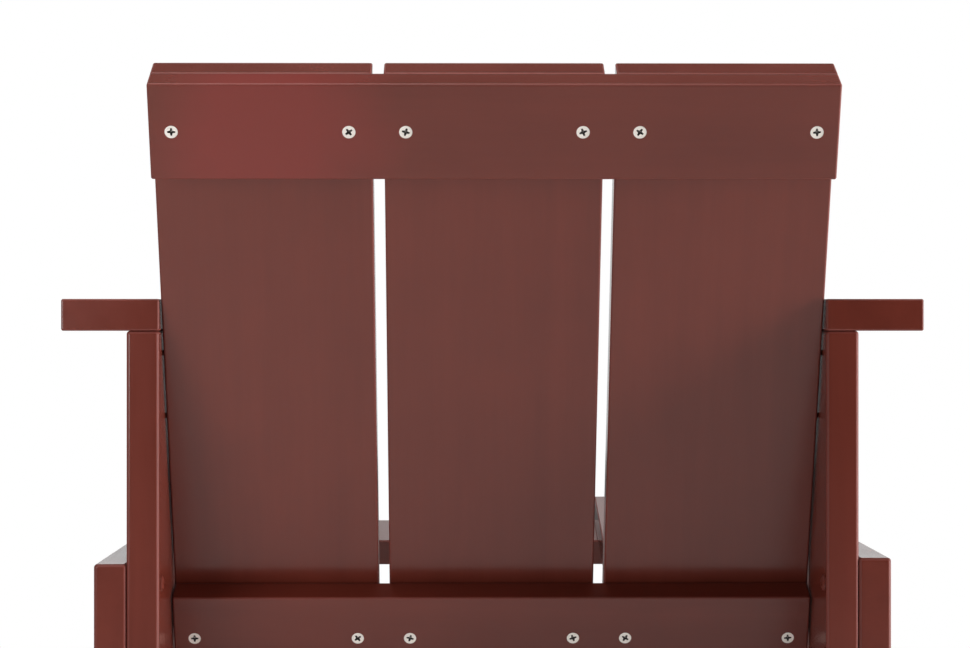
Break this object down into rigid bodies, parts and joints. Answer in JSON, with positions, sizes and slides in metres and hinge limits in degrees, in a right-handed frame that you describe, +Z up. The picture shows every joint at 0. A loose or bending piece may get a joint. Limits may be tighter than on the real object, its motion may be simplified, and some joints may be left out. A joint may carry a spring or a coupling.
{
  "type": "slatted lounge chair",
  "caption": "Low garden lounge chair of flat lacquered boards: wide back and seat planks on narrow battens, reclined between two upright side frames with flat armrests.",
  "frame": {"origin": "on the floor, under the middle of the chair's box", "axes": "+Z up; the chair faces -Y; +X is the left-hand side of the person who sits in it"},
  "size_m": [0.6132, 0.6864, 0.6668],
  "materials": {
    "lacquered_board": "satin brown-red lacquer, with faint mottling and lighter rounded edges",
    "bright_screw": "bright zinc-plated steel",
    "painted_screw": "satin lacquer in the colour of the boards"
  },
  "bodies": {
    "root": {"back_plank_left": "lacquered_board", "back_plank_middle": "lacquered_board", "back_plank_right": "lacquered_board", "back_batten_upper": "lacquered_board", "back_batten_lower": "lacquered_board", "seat_plank_left": "lacquered_board", "seat_plank_middle": "lacquered_board", "seat_plank_right": "lacquered_board", "seat_batten_front": "lacquered_board", "seat_batten_rear": "lacquered_board", "armrest_left": "lacquered_board", "armrest_right": "lacquered_board", "rear_leg_left": "lacquered_board", "rear_leg_right": "lacquered_board", "front_leg_left": "lacquered_board", "front_leg_right": "lacquered_board", "side_board_left": "lacquered_board", "side_board_right": "lacquered_board", "back_upper_screws": "bright_screw", "back_lower_screws": "bright_screw", "seat_front_screws": "bright_screw", "seat_rear_screws": "bright_screw", "armrest_screws_left": "painted_screw", "armrest_screws_right": "painted_screw", "rear_leg_screws_left": "painted_screw", "rear_leg_screws_right": "painted_screw", "front_leg_screws_left": "painted_screw", "front_leg_screws_right": "painted_screw", "back_side_screws_left": "painted_screw", "back_side_screws_right": "painted_screw", "seat_front_side_screws_left": "painted_screw", "seat_front_side_screws_right": "painted_screw", "seat_rear_side_screws_left": "painted_screw", "seat_rear_side_screws_right": "painted_screw"}
  },
  "joints": []
}
